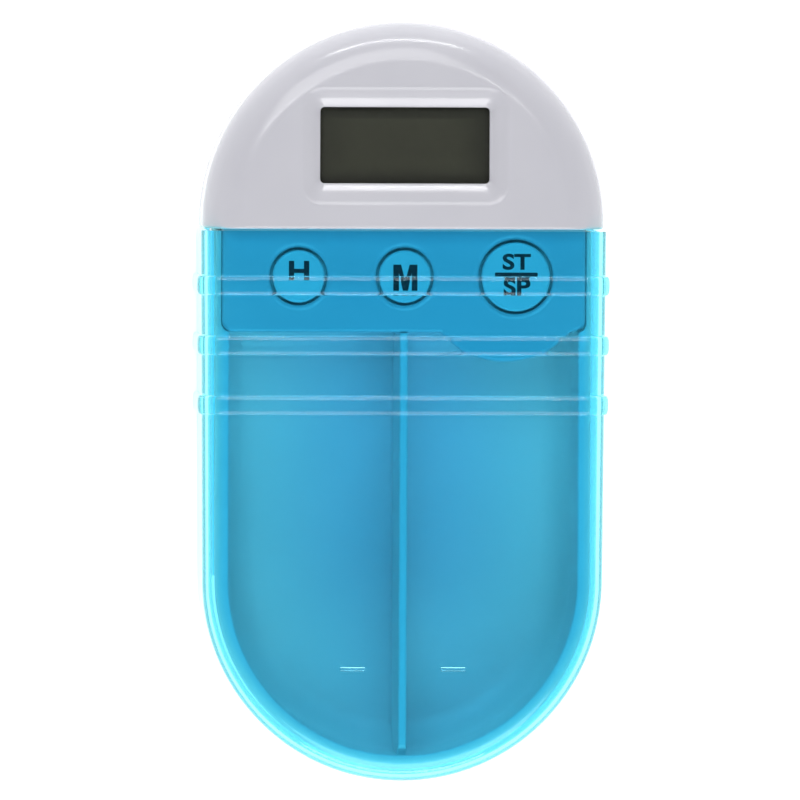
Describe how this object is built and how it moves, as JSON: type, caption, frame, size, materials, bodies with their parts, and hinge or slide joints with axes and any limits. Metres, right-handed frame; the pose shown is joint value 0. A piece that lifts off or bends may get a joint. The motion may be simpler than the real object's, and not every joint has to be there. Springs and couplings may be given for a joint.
{
  "type": "pill box with timer",
  "caption": "Capsule-shaped pill box with a digital timer: display head, key panel and pill compartments under a clear sliding cover.",
  "frame": {"origin": "under the middle of the bounding box, on the surface that the back lies on", "axes": "+X to the right as the front is read, +Y from the pill compartments to the display, +Z out of the front"},
  "size_m": [0.0598, 0.11, 0.02],
  "materials": {
    "white_abs": "glossy moulded white ABS",
    "white_abs_back": "white ABS, a little duller on the back",
    "clear_blue": "transparent blue moulded plastic, glossy",
    "clear_window": "clear plastic plate, glossy",
    "display": "dark olive liquid crystal display",
    "black_plastic": "matt black",
    "striped_rubber": "striped conductive rubber",
    "board_green": "green solder mask",
    "chip_resin": "black resin glob",
    "bright_steel": "bright nickel plate",
    "key_plastic": "white key caps, satin",
    "silicone": "grey silicone rubber",
    "cell_steel": "bright steel can",
    "buzzer_brass": "brass disc with a ceramic layer",
    "red_sleeve": "red insulation",
    "black_sleeve": "black insulation",
    "screw_steel": "zinc plated steel"
  },
  "bodies": {
    "case": {"front_case": "white_abs", "rear_case": "white_abs_back", "display_window": "clear_window", "lcd_glass": "display", "lcd_frame": "black_plastic", "zebra_strip_upper": "striped_rubber", "zebra_strip_lower": "striped_rubber", "circuit_board": "board_green", "timer_chip": "chip_resin", "quartz_crystal": "bright_steel", "hour_dome": "silicone", "minute_dome": "silicone", "start_stop_dome": "silicone", "coin_cell": "cell_steel", "positive_contact": "bright_steel", "negative_contact": "bright_steel", "buzzer_disc": "buzzer_brass", "buzzer_lead_red": "red_sleeve", "buzzer_lead_black": "black_sleeve", "case_screw_1": "screw_steel", "case_screw_2": "screw_steel", "case_screw_3": "screw_steel", "board_screw_1": "screw_steel", "board_screw_2": "screw_steel"},
    "cover": {"sliding_cover": "clear_blue"},
    "hour_key": {"hour_button": "key_plastic"},
    "minute_key": {"minute_button": "key_plastic"},
    "start_stop_key": {"start_stop_button": "key_plastic"},
    "battery_door": {"battery_door": "white_abs_back"}
  },
  "joints": [
    {"name": "cover_slide", "type": "slide", "parent": "case", "child": "cover", "axis": [0, -1, 0], "range_m": [0, 0.08]},
    {"name": "hour_press", "type": "slide", "parent": "case", "child": "hour_key", "axis": [0, 0, -1], "range_m": [0, 0.0008], "stiffness_N_per_m": 500, "springref_m": -0.001, "deforming": ["hour_dome"]},
    {"name": "minute_press", "type": "slide", "parent": "case", "child": "minute_key", "axis": [0, 0, -1], "range_m": [0, 0.0008], "stiffness_N_per_m": 500, "springref_m": -0.001, "deforming": ["minute_dome"]},
    {"name": "start_stop_press", "type": "slide", "parent": "case", "child": "start_stop_key", "axis": [0, 0, -1], "range_m": [0, 0.0008], "stiffness_N_per_m": 500, "springref_m": -0.001, "deforming": ["start_stop_dome"]},
    {"name": "door_turn", "type": "hinge", "parent": "case", "child": "battery_door", "pos_m": [0.0147, 0.0184, 0], "axis": [0, 0, 1], "range_deg": [0, 35]}
  ]
}
